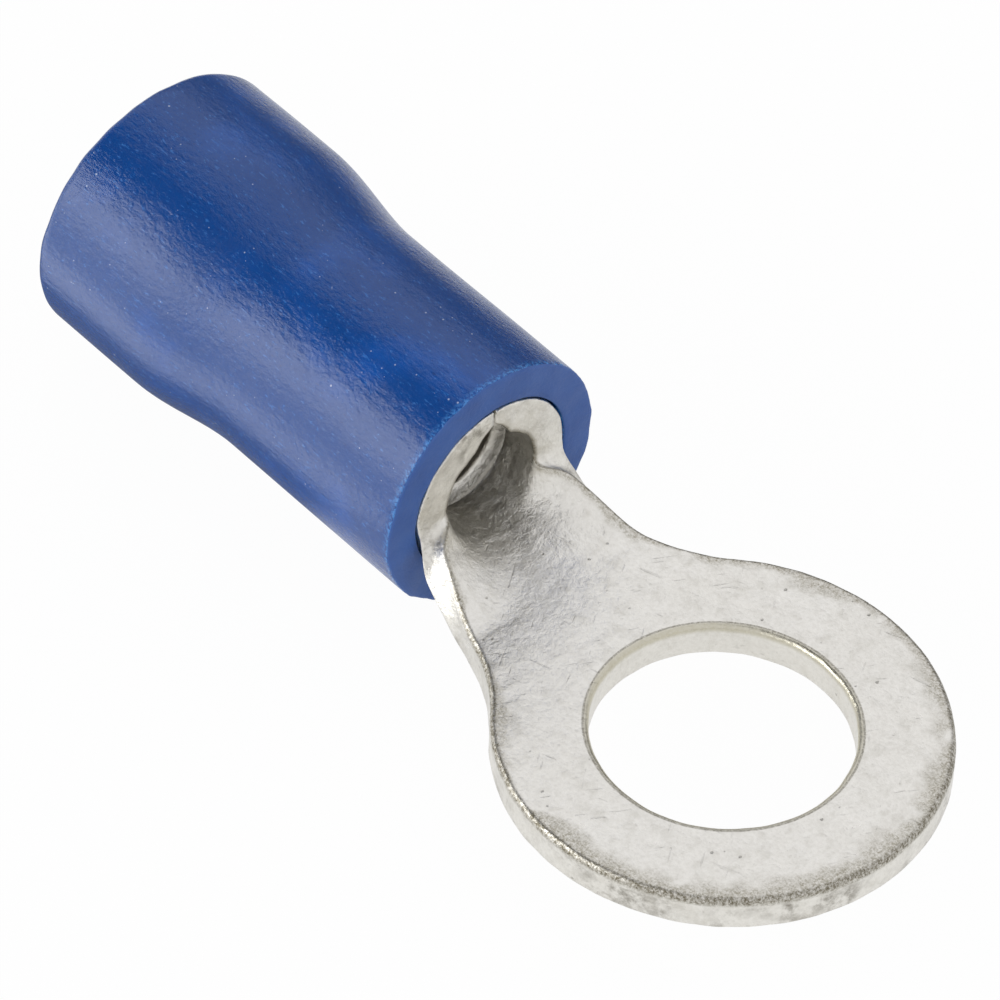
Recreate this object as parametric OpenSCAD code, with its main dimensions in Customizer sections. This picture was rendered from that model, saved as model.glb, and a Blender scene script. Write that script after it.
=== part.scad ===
// Insulated ring terminal for a crimped wire, with a stud hole in a flat tongue.
// The origin is the centre of the stud hole on the tongue's underside.
// +X points from the wire barrel to the tip of the ring, +Z points up.

/* [Ring tongue] */
// Thickness of the copper sheet that everything metal is stamped from
sheet_t = 0.8; // [0.7:0.05:0.9]
// Diameter of the stud hole
stud_hole_d = 5.5; // [4.3:0.1:6.0]
// Outside diameter of the ring
ring_d = 9.5; // [8.6:0.1:10.4]
// Radius that the punch leaves on the upper edges of the ring, the hole and the scoop
edge_roll_r = 0.12; // [0.06:0.01:0.2]

/* [Neck] */
// Width of the neck at its narrowest
neck_w = 4.4; // [3.8:0.1:4.8]
// Radius of the hollow flank between the neck and the ring
flank_r = 4.3; // [3.8:0.1:4.6]
// Radius in the corner between the neck and the front edge of each barrel wing
wing_root_r = 0.3; // [0.1:0.05:0.35]
// Length over which the flat neck curls up into the barrel
curl_len = 2.0; // [1.8:0.1:2.8]
// How early the curl opens: 1 is even, and a smaller value opens it nearer the barrel
curl_bias = 0.55; // [0.5:0.05:1]

/* [Wire barrel] */
// Distance from the centre of the stud hole to the front of the barrel
barrel_front = 7.2; // [7.1:0.1:8.4]
// Length of the wire barrel
barrel_len = 5.2; // [4.8:0.1:6.0]
// Bore of the wire barrel
barrel_bore_d = 2.4; // [2.2:0.1:2.7]
// Gap of the butt seam on top of the barrel
seam_gap = 0.05; // [0.02:0.01:0.1]
// Width of the bevel along each inner edge of the seam
seam_bevel_w = 0.55; // [0.3:0.05:0.7]
// Height of the bevel along each inner edge of the seam
seam_bevel_h = 0.45; // [0.3:0.05:0.5]

/* [Grip grooves] */
// Number of grooves pressed into the inside of the barrel
groove_count = 3; // [1:1:3]
// Depth of a groove
groove_depth = 0.2; // [0.1:0.02:0.26]
// Width of a groove at its floor
groove_floor_w = 0.3; // [0.2:0.05:0.4]
// Distance between the middles of neighbouring grooves
groove_pitch = 1.3; // [1.1:0.05:1.4]

/* [Sleeve] */
// Length of the sleeve
sleeve_len = 10.8; // [10.2:0.1:11.6]
// Wall of the sleeve over the barrel
sleeve_wall = 0.8; // [0.6:0.05:0.9]
// Clearance all round between the barrel and the sleeve
sleeve_clearance = 0.05; // [0.03:0.01:0.1]
// Length of the straight front part of the sleeve
sleeve_straight_len = 5.3; // [5.0:0.1:5.6]
// Length over which the sleeve swells to its wide rear
sleeve_swell_len = 2.7; // [2.0:0.1:3.0]
// Outside diameter of the wide rear
sleeve_rear_d = 6.35; // [6.1:0.05:6.8]
// Bore of the wide rear, for the insulated wire
cable_bore_d = 4.5; // [4.2:0.1:4.9]
// Radius of the rounded rear edge
rear_edge_r = 0.35; // [0.1:0.05:0.4]
// Chamfer of the rear mouth
entry_chamfer = 0.25; // [0.1:0.05:0.3]
// How far the seat behind the barrel stands in from the sleeve's barrel bore
seat_lip = 0.55; // [0.3:0.05:0.6]
// Length of the throat between the seat and the funnel
throat_len = 0.4; // [0.2:0.1:0.6]
// Length of the funnel that leads the strands into the barrel
funnel_len = 1.8; // [1.2:0.1:2.0]

/* [Hidden] */
$fn = 96;

TIN = [0.80, 0.79, 0.76];
BLUE_PVC = [0.12, 0.26, 0.54];

// The ring and its neck
ring_r = ring_d / 2;
stud_hole_r = stud_hole_d / 2;
neck_half = neck_w / 2;
flank_centre_y = neck_half + flank_r;
flank_centre_x = -sqrt(pow(ring_r + flank_r, 2) - pow(flank_centre_y, 2));
// Angle of the point where ring and flank touch, measured at the stud hole from -X
tangent_angle = atan2(flank_centre_y, -flank_centre_x);
tangent_x = -ring_r * cos(tangent_angle);
tangent_y = ring_r * sin(tangent_angle);

// The barrel lies on the tongue's underside, so its axis is half its diameter up
barrel_r = barrel_bore_d / 2 + sheet_t;
barrel_bore_r = barrel_bore_d / 2;
axis_z = barrel_r;
barrel_front_x = -barrel_front;
barrel_rear_x = barrel_front_x - barrel_len;
// Height above the axis at which the seam's bevels leave the bore
bevel_foot_z = sqrt(pow(barrel_bore_r, 2) - pow(seam_bevel_w, 2));

// The curl: the sheet's middle line bends to this curvature at the barrel
mid_curvature = 1 / (barrel_bore_r + sheet_t / 2);
curl_end_x = barrel_front_x + curl_len;
curl_steps = 20;
curl_segments = 24;
// The curled sheet stands this far inside the faces that it runs into, and tapers further inside
// them over the short stubs that reach into the barrel wall and into the flat neck
inset = 0.02;
stub_inset = 0.12;
stub_len = 0.3;
roll_steps = 3;

// Grooves, spaced about the middle of the barrel
groove_mid_x = barrel_front_x - barrel_len / 2;
groove_first_x = groove_mid_x + groove_pitch * (groove_count - 1) / 2;

// Sleeve radii and stations, measured back from the barrel's front
sleeve_bore_r = barrel_r + sleeve_clearance;
sleeve_front_r = sleeve_bore_r + sleeve_wall;
sleeve_rear_r = sleeve_rear_d / 2;
cable_bore_r = cable_bore_d / 2;
throat_r = sleeve_bore_r - seat_lip;
seat_at = barrel_len + sleeve_clearance;
funnel_at = seat_at + throat_len;
cable_bore_at = funnel_at + funnel_len;
swell_end = sleeve_straight_len + sleeve_swell_len;
swell_steps = 10;

// Small overshoot that lets a cut pass through a face
cut = 0.1;

// 0 at u = 0 and 1 at u = 1, level at both ends
function ease(u) = u * u * (3 - 2 * u);

// Half the width of the flat blank at x, along its hollow flank
function flank_half(x) =
    x < flank_centre_x ? neck_half
    : flank_centre_y - sqrt(pow(flank_r, 2) - pow(x - flank_centre_x, 2));

// What the corner at the barrel wing adds to the half width at x
function root_flare(x) =
    let (run = min(max(barrel_front_x + wing_root_r - x, 0), wing_root_r))
    wing_root_r - sqrt(pow(wing_root_r, 2) - run * run);

function blank_half(x) = flank_half(x) + root_flare(x);

// How far the curl has opened at x, from 0 at the barrel to 1 where the sheet is flat
function opened(x) = min(max((x - barrel_front_x) / curl_len, 0), 1);

// Curvature of the sheet across the neck at x
function curvature(x) = mid_curvature * (1 - ease(pow(opened(x), curl_bias)));

// A point of the bent sheet: s along the sheet's width, n up from its underside
function bent(x, s, n) =
    let (k = curvature(x), off = n - sheet_t / 2)
    k < 0.001 ? [x, s, n]
    : [x,
       (1 / k - off) * sin(k * s * 180 / PI),
       sheet_t / 2 + 1 / k - (1 / k - off) * cos(k * s * 180 / PI)];

function inset_at(x) = x < barrel_front_x || x > curl_end_x ? stub_inset : inset;

// Radius of the rolled edge at x, which fades to a sharp corner where the sheet is flat
function roll_at(x) = edge_roll_r * (1 - 0.8 * opened(x));

// Where the section's columns stand across half the width, densest on the rolled edge
function half_columns(half, r) = concat(
    [for (i = [0 : curl_segments / 2 - 1]) (half - r) * 2 * i / curl_segments],
    [for (i = [0 : roll_steps]) half - r * (1 - sin(90 * i / roll_steps))]);

// Height of the upper side above the middle of a rolled edge of radius r
function roll_height(s, half, r) = sqrt(max(r * r - pow(max(abs(s) - half + r, 0), 2), 0));

// The bent sheet's section at x: its lower side from left to right, then its upper side back
function curled_section(x) =
    let (gap = inset_at(x),
         half = blank_half(x) - gap,
         r = roll_at(x),
         right = half_columns(half, r),
         last = len(right) - 1,
         columns = concat([for (i = [last : -1 : 1]) -right[i]], right))
    concat([for (s = columns) bent(x, s, gap)],
           [for (i = [2 * last : -1 : 0])
               bent(x, columns[i], sheet_t - gap - r + roll_height(columns[i], half, r))]);

// Stations along the curl, closer together where it is tightest
function curl_stations() = concat(
    [barrel_front_x - stub_len],
    [for (i = [0 : curl_steps]) barrel_front_x + curl_len * pow(i / curl_steps, 1.3)],
    [curl_end_x + stub_len]);

// A closed solid through rings of points. Each ring runs along the lower side and back along
// the upper one, so both ends are closed by strips between opposite points
module loft(rings) {
    count = len(rings[0]);
    top = (len(rings) - 1) * count;
    polyhedron(
        points = [for (ring = rings) each ring],
        faces = concat(
            [for (i = [0 : count / 2 - 2]) [i, i + 1, count - 2 - i, count - 1 - i]],
            [for (k = [0 : len(rings) - 2], i = [0 : count - 1])
                let (j = (i + 1) % count, a = k * count, b = a + count)
                each [[a + i, b + i, b + j], [a + i, b + j, a + j]]],
            [for (i = [0 : count / 2 - 2])
                [top + count - 1 - i, top + count - 2 - i, top + i + 1, top + i]]));
}

// The neck between the barrel and the flat tongue, curling up like a scoop
module scoop() {
    loft([for (x = curl_stations()) curled_section(x)]);
}

// Outline of the flat tongue: the ring, and the neck between its two hollow flanks
module tongue_outline() {
    difference() {
        union() {
            circle(r = ring_r);
            difference() {
                translate([curl_end_x, -tangent_y]) square([tangent_x - curl_end_x, 2 * tangent_y]);
                for (side = [-1, 1])
                    translate([flank_centre_x, side * flank_centre_y]) circle(r = flank_r);
            }
        }
        circle(r = stud_hole_r);
    }
}

// Half section of the metal that a rolled edge loses at radius r. side is 1 where the metal lies
// outside that radius, as round the stud hole, and -1 where it lies inside, as on the ring
module roll_section(r, side) {
    difference() {
        translate([side > 0 ? r - cut : r - edge_roll_r, sheet_t - edge_roll_r])
            square([cut + edge_roll_r, edge_roll_r + cut]);
        translate([r + side * edge_roll_r, sheet_t - edge_roll_r]) circle(r = edge_roll_r);
    }
}

// A tall wedge about Z between two angles
module wedge(from, to, reach) {
    translate([0, 0, -cut]) linear_extrude(sheet_t + 3 * cut)
        polygon([[0, 0], reach * [cos(from), sin(from)], reach * [cos(to), sin(to)]]);
}

// Rolled upper edges of the ring and the stud hole. The ring's stops where the neck begins
module tongue_edge_rolls() {
    difference() {
        rotate_extrude() roll_section(ring_r, -1);
        wedge(180 - tangent_angle, 180 + tangent_angle, 2 * ring_d);
    }
    rotate_extrude() roll_section(stud_hole_r, 1);
}

module tongue() {
    difference() {
        linear_extrude(sheet_t) tongue_outline();
        tongue_edge_rolls();
    }
}

// Turns a shape that was revolved about Z so that its axis is the barrel's, with +Z towards -X
module along_barrel() {
    translate([0, 0, axis_z]) rotate([0, -90, 0]) children();
}

// Half section of a grip groove with sloping sides
module groove_section() {
    polygon([
        [barrel_bore_r - cut, -groove_floor_w / 2 - groove_depth - cut],
        [barrel_bore_r + groove_depth, -groove_floor_w / 2],
        [barrel_bore_r + groove_depth, groove_floor_w / 2],
        [barrel_bore_r - cut, groove_floor_w / 2 + groove_depth + cut]]);
}

// The rolled barrel with its butt seam, the bevels along the seam and the grip grooves
module wire_barrel() {
    difference() {
        along_barrel() translate([0, 0, barrel_front]) cylinder(h = barrel_len, r = barrel_r);
        along_barrel() translate([0, 0, barrel_front - cut])
            cylinder(h = barrel_len + 2 * cut, r = barrel_bore_r);
        translate([barrel_rear_x - cut, -seam_gap / 2, axis_z])
            cube([barrel_len + 2 * cut, seam_gap, barrel_r + cut]);
        along_barrel() translate([0, 0, barrel_front - cut]) linear_extrude(barrel_len + 2 * cut)
            polygon([[0, -seam_bevel_w], [bevel_foot_z, -seam_bevel_w], [barrel_bore_r + seam_bevel_h, 0],
                     [bevel_foot_z, seam_bevel_w], [0, seam_bevel_w]]);
        for (i = [0 : groove_count - 1])
            along_barrel() translate([0, 0, -groove_first_x + i * groove_pitch])
                rotate_extrude() groove_section();
    }
}

module terminal() {
    color(TIN) union() {
        tongue();
        scoop();
        wire_barrel();
    }
}

// Outside radius of the sleeve at a distance u along its swell
function swell_r(u) = sleeve_front_r + (sleeve_rear_r - sleeve_front_r) * ease(u);

// Half section of the sleeve: radius, then distance back from the barrel's front
module sleeve_section() {
    rear_round = [for (i = [0 : 6]) let (a = 90 * i / 6)
        [sleeve_rear_r - rear_edge_r + rear_edge_r * cos(a), sleeve_len - rear_edge_r + rear_edge_r * sin(a)]];
    swell = [for (i = [0 : swell_steps])
        [swell_r(i / swell_steps), sleeve_straight_len + sleeve_swell_len * i / swell_steps]];
    polygon(concat(
        [[sleeve_bore_r, 0], [sleeve_front_r, 0]],
        swell,
        rear_round,
        [[cable_bore_r + entry_chamfer, sleeve_len],
         [cable_bore_r, sleeve_len - entry_chamfer],
         [cable_bore_r, cable_bore_at],
         [throat_r, funnel_at],
         [throat_r, seat_at],
         [sleeve_bore_r, seat_at]]));
}

module sleeve() {
    color(BLUE_PVC) along_barrel() translate([0, 0, barrel_front]) rotate_extrude() sleeve_section();
}

terminal();
sleeve();
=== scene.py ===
"""Insulated ring terminal: a tinned copper stamping in a moulded PVC sleeve.

Lengths in the making are millimetres and each finished mesh is scaled to metres.
The origin is the centre of the stud hole on the tongue's underside, +X to the ring's tip, +Z up.
"""

import math

import bmesh
import bpy
from mathutils import Matrix, Vector, noise


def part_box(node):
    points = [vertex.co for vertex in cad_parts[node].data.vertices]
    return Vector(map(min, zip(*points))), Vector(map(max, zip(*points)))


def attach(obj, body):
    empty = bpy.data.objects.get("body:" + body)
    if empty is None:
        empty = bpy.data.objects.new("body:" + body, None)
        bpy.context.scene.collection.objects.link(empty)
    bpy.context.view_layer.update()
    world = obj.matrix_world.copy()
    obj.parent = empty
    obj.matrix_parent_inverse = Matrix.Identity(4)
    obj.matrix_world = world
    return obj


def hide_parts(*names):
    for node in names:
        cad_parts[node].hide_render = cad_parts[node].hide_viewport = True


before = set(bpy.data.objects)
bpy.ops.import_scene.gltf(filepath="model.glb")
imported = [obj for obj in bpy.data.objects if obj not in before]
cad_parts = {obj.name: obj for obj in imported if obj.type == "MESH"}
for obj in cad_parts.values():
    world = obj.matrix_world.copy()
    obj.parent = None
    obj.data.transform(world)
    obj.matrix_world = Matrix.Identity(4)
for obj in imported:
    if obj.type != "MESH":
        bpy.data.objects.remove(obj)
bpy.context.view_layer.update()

MM = 0.001

# ---------------------------------------------------------------- sizes, mm

terminal_low, terminal_high = (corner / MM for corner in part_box("terminal"))
sleeve_low, sleeve_high = (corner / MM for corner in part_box("sleeve"))

# the stamping: ring, hole and the rounding of the cut edges
SHEET = 0.8
RING_R = terminal_high.x
HOLE_R = 2.75
EDGE_ROLL = 0.12
TONGUE_DROP = 0.19
WING_ROLL = 0.04
UNDER_BREAK = 0.04

# the neck with its hollow flanks, and the scoop where it curls up
NECK_HALF = 2.2
FLANK_R = 4.3
FLANK_Y = NECK_HALF + FLANK_R
FLANK_X = -math.sqrt((RING_R + FLANK_R) ** 2 - FLANK_Y ** 2)
TANGENT = math.atan2(FLANK_Y, -FLANK_X)
SECTOR = math.radians(60)
WING_ROOT = 0.3
CURL_LEN = 2.3
LIP_LEN = 0.6

# the rolled barrel, measured along the middle of the sheet where it is bent
BARREL_FRONT = sleeve_high.x
BARREL_REAR = terminal_low.x
BARREL_BORE_R = 1.2
SEAM_GAP = 0.05
SEAM_BEVEL_W = 0.6
SEAM_BEVEL_H = 0.45
MID_CURVATURE = 1 / (BARREL_BORE_R + SHEET / 2)
WING_END = math.pi / MID_CURVATURE - SEAM_GAP / 2
BARREL_TALLER = 0.045

# grip grooves: the front corner lies ahead of each middle, and the rear wall is the longer one
GROOVES = (-8.5, -9.8, -11.1)
GROOVE_DEPTH = 0.26
GROOVE_AHEAD = 0.28
GROOVE_FRONT_WALL = 0.1
GROOVE_REAR_WALL = 0.28
GROOVE_HALF_FLOOR = 0.02

# the sleeve, and what its bore holds
AXIS_Z = (sleeve_low.z + sleeve_high.z) / 2
SLEEVE_REAR = sleeve_low.x
SLEEVE_REAR_R = (sleeve_high.z - sleeve_low.z) / 2
SLEEVE_FRONT_R = 2.85
SLEEVE_BORE_R = 2.05
SWELL_FROM = BARREL_FRONT - 5.3
SWELL_TO = BARREL_FRONT - 8.0
SEAT_X = BARREL_REAR - 0.05
THROAT_R = 1.5
THROAT_LEN = 0.4
FUNNEL_LEN = 1.8
CABLE_BORE_R = 2.25
SLEEVE_LIFT = 0.09
MOUTH_TALLER = 0.05
MOUTH_NARROWER = 0.014


# ---------------------------------------------------------------- helpers

def ease(u):
    """0 at u = 0 and 1 at u = 1, level at both ends."""
    u = min(max(u, 0.0), 1.0)
    return u * u * (3 - 2 * u)


def wander(x, y, z, size, seed):
    """Smooth uneven value between about -1 and 1 that changes over a given size in mm."""
    return noise.noise(Vector((x / size + seed, y / size + 7.3 * seed, z / size - 3.1 * seed)))


def colour(code):
    """sRGB hex value as a linear colour."""
    parts = [int(code[i:i + 2], 16) / 255 for i in (1, 3, 5)]
    linear = [c / 12.92 if c <= 0.04045 else ((c + 0.055) / 1.055) ** 2.4 for c in parts]
    return (*linear, 1.0)


def node(tree, kind, inputs=None, **settings):
    """Adds one node with its settings, input values and links, and returns its outputs.

    A Mix node's inputs go by number: 0 is its factor, 2 and 3 are its values, 6 and 7 its colours.
    """
    made = tree.nodes.new(kind)
    for name, value in settings.items():
        setattr(made, name, value)
    for name, value in (inputs or {}).items():
        if isinstance(value, bpy.types.NodeSocket):
            tree.links.new(value, made.inputs[name])
        else:
            made.inputs[name].default_value = value
    return made.outputs


def finished(name, bm, materials, cad_node):
    """Scales a mesh in mm to metres and makes it the piece that stands for a CAD node."""
    bmesh.ops.scale(bm, vec=(MM, MM, MM), verts=bm.verts)
    mesh = bpy.data.meshes.new(name)
    bm.to_mesh(mesh)
    bm.free()
    for face in mesh.polygons:
        face.use_smooth = True
    piece = bpy.data.objects.new(name, mesh)
    bpy.context.scene.collection.objects.link(piece)
    for material in materials:
        mesh.materials.append(material)
    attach(piece, "root")
    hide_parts(cad_node)


# ---------------------------------------------------------------- stamping: flat blank

ARC_CELLS = 30
RING_RADII = (HOLE_R, 2.98, 3.13, 3.29, 3.46, 3.64, 3.82, 4.0, 4.18, 4.37, 4.56, RING_R)
REST_CELLS = 80
NECK_ROWS = 15
NECK_END = -5.6
# how far the ring's arc is drawn inwards where the neck begins, and the rows beside the wing root
NECK_DIP = 0.75
ROOT_LEAN = 0.15
BARREL_ROWS = 50
WING_CELLS = 16
# the first row of the barrel lies clear of the loops along its front edge
END_ROW = 0.16


def spun_sector(bm, start, angle, steps):
    """Spins a radial line of the ring through an angle, from a start angle measured from -X."""
    way = Vector((-math.cos(start), math.sin(start), 0))
    line = [bm.verts.new(way * r) for r in RING_RADII]
    edges = [bm.edges.new(pair) for pair in zip(line, line[1:])]
    bmesh.ops.spin(bm, geom=line + edges, axis=(0, 0, -1), cent=(0, 0, 0), angle=angle, steps=steps,
                   use_merge=False, use_duplicate=False)


def blank_half(x):
    """Half the blank's width at x: ring, hollow flank, then the corner at the barrel's wing."""
    if x > -RING_R * math.cos(TANGENT):
        return math.sqrt(RING_R ** 2 - x * x)
    flank = NECK_HALF if x < FLANK_X else FLANK_Y - math.sqrt(FLANK_R ** 2 - (x - FLANK_X) ** 2)
    run = min(max(BARREL_FRONT + WING_ROOT - x, 0), WING_ROOT)
    return flank + WING_ROOT - math.sqrt(WING_ROOT ** 2 - run * run)


def next_row(bm, row, places, along):
    """Extrudes a row of edges to the given places, ordered along one axis."""
    edges = [bm.edges.get(pair) for pair in zip(row, row[1:])]
    made = bmesh.ops.extrude_edge_only(bm, edges=edges)["geom"]
    fresh = sorted((v for v in made if isinstance(v, bmesh.types.BMVert)),
                   key=lambda v: v.co[along])
    for vert, place in zip(fresh, places):
        vert.co = place
    return fresh


def neck_and_barrel(bm):
    """Extrudes the neck from the ring's arc, then the barrel's blank with its two wings."""
    sector = [v for v in bm.verts if abs(math.atan2(v.co.y, -v.co.x)) < SECTOR + 0.001]
    row = sorted((v for v in sector if abs(v.co.length - RING_R) < 0.001), key=lambda v: v.co.y)
    # the sector's outer edge dips inwards, so that the neck leaves the outline at a clear angle
    for v in sector:
        turn = abs(math.atan2(v.co.y, -v.co.x)) / SECTOR
        r = v.co.length
        v.co *= (r - NECK_DIP * (1 - min(turn, 1) ** 4) * (r - HOLE_R) / (RING_R - HOLE_R)) / r
    shares = [v.co.y / row[-1].co.y for v in row]
    bends = [v.co.x - NECK_END for v in row]
    side_start = row[0].co.x
    evenly = [2 * i / ARC_CELLS - 1 for i in range(ARC_CELLS + 1)]
    for k in range(1, NECK_ROWS + 1):
        t = k / NECK_ROWS
        half = blank_half(side_start + (NECK_END - side_start) * t)
        places = [Vector((NECK_END + bend * (1 - t), half * (share + (even - share) * t), 0))
                  for bend, share, even in zip(bends, shares, evenly)]
        row = next_row(bm, row, places, 1)
    stations = [NECK_END - 0.13 * k for k in range(1, 11)]
    stations += [BARREL_FRONT + WING_ROOT * u for u in (0.75, 0.52, 0.32, 0.15, 0)]
    for x in stations:
        # the rows lean back beside the root's fillet, to leave room for the loops round it
        lean = ROOT_LEAN * max(0, 1 - (x - BARREL_FRONT) / WING_ROOT)
        leans = [lean * abs(even) ** 6 if abs(even) < 0.99 else 0 for even in evenly]
        places = [Vector((x - back, blank_half(x) * even, 0)) for even, back in zip(evenly, leans)]
        row = next_row(bm, row, places, 1)
    ends = [[row[0]], [row[-1]]]
    first = BARREL_FRONT - END_ROW
    last = BARREL_REAR + END_ROW
    for k in range(BARREL_ROWS + 1):
        x = first + (last - first) * k / BARREL_ROWS
        row = next_row(bm, row,
                       [Vector((x, blank_half(BARREL_FRONT) * even, 0)) for even in evenly], 1)
        ends[0].append(row[0])
        ends[1].append(row[-1])
    row = next_row(bm, row,
                   [Vector((BARREL_REAR, blank_half(BARREL_FRONT) * e, 0)) for e in evenly], 1)
    ends[0].append(row[0])
    ends[1].append(row[-1])
    root = blank_half(BARREL_FRONT)
    for side, column in zip((-1, 1), ends):
        column = sorted(column, key=lambda v: v.co.x)
        for k in range(1, WING_CELLS + 1):
            s = side * (root + (WING_END - root) * k / WING_CELLS)
            column = next_row(bm, column, [Vector((v.co.x, s, 0)) for v in column], 0)


LOOP_GAPS = (0.0, 0.012, 0.04, 0.075, EDGE_ROLL)


def edge_loops(bm):
    """Insets loops along every cut edge, and keeps each one's distance from the edge in mm."""
    inner = list(bm.faces)
    for near, far in zip(LOOP_GAPS, LOOP_GAPS[1:]):
        bmesh.ops.inset_region(bm, faces=inner, thickness=far - near, depth=0,
                               use_boundary=True, use_even_offset=True)
    layer = bm.verts.layers.float.new("edge_gap")
    for vert in bm.verts:
        vert[layer] = 1.0
    loop = {v for v in bm.verts if v.is_boundary}
    done = set()
    for gap in LOOP_GAPS:
        for vert in loop:
            vert[layer] = gap
        done |= loop
        loop = {e.other_vert(v) for v in loop for e in v.link_edges} - done
    # the cells beside the loops are evened out, so that none folds over where the outline turns
    beside = [v for v in bm.verts if v not in done and
              min(outline_gap(v.co.x, v.co.y), v.co.length - HOLE_R) < 0.45]
    for _ in range(8):
        bmesh.ops.smooth_vert(bm, verts=beside, factor=0.5, use_axis_x=True, use_axis_y=True)


def outline_gap(x, s):
    """Distance in mm from a point of the blank to its nearest outer cut edge."""
    s = abs(s)
    if x < BARREL_FRONT:
        return min(BARREL_FRONT - x if s > NECK_HALF else 9.0, x - BARREL_REAR, WING_END - s)
    if math.atan2(s, -x) > TANGENT or x > 0:
        return max(RING_R - math.hypot(x, s), 0)
    side = math.hypot(x - FLANK_X, s - FLANK_Y) - FLANK_R if x > FLANK_X else blank_half(x) - s
    return max(side, 0)


def opening(x, length):
    """How far the curl is still closed at x, from 1 at the barrel to 0 at a length in front of it."""
    return 1 - ease((x - BARREL_FRONT) / length)


def curvature(x, s):
    """Curvature across the sheet: the trough's middle opens slowly and its lips flare at once."""
    middle = MID_CURVATURE * opening(x, CURL_LEN)
    lip = MID_CURVATURE * opening(x, LIP_LEN)
    share = min(abs(s) / blank_half(x), 1) if x > BARREL_FRONT else 0
    return lip + (middle - lip) * (1 - share * share) ** 2


def bent(x, s, n):
    """A point of the rolled sheet: s along its width, n up from its underside."""
    if x > BARREL_FRONT + CURL_LEN:
        return Vector((x, s, n))
    steps = 1 if x <= BARREL_FRONT else 16
    length = s / steps
    turn = 0.0
    y = 0.0
    z = SHEET / 2
    for k in range(steps):
        arc = curvature(x, length * (k + 0.5)) * length
        chord = length if abs(arc) < 0.0001 else length * math.sin(arc / 2) / (arc / 2)
        y += chord * math.cos(turn + arc / 2)
        z += chord * math.sin(turn + arc / 2)
        turn += arc
    return Vector((x, y - (n - SHEET / 2) * math.sin(turn), z + (n - SHEET / 2) * math.cos(turn)))


def groove(x):
    """How deep a grip groove is at x, from 0 to 1: steep in front, with a long sloping rear wall."""
    depth = 0
    for middle in GROOVES:
        ahead = x - middle - GROOVE_AHEAD
        wall = GROOVE_FRONT_WALL if ahead > 0 else GROOVE_REAR_WALL
        depth = max(depth, 1 - ease((abs(ahead) - GROOVE_HALF_FLOOR) / wall))
    return depth


def thinned(x, s, n):
    """Height of a sheet point after the seam's bevels and the grooves are pressed into the sheet."""
    if x > BARREL_FRONT + 0.3:
        return n
    bevel = min(max((abs(s) - WING_END + SEAM_BEVEL_W) / SEAM_BEVEL_W, 0), 1)
    return n * (1 - SEAM_BEVEL_H / SHEET * bevel) * (1 - GROOVE_DEPTH / SHEET * groove(x))


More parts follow.
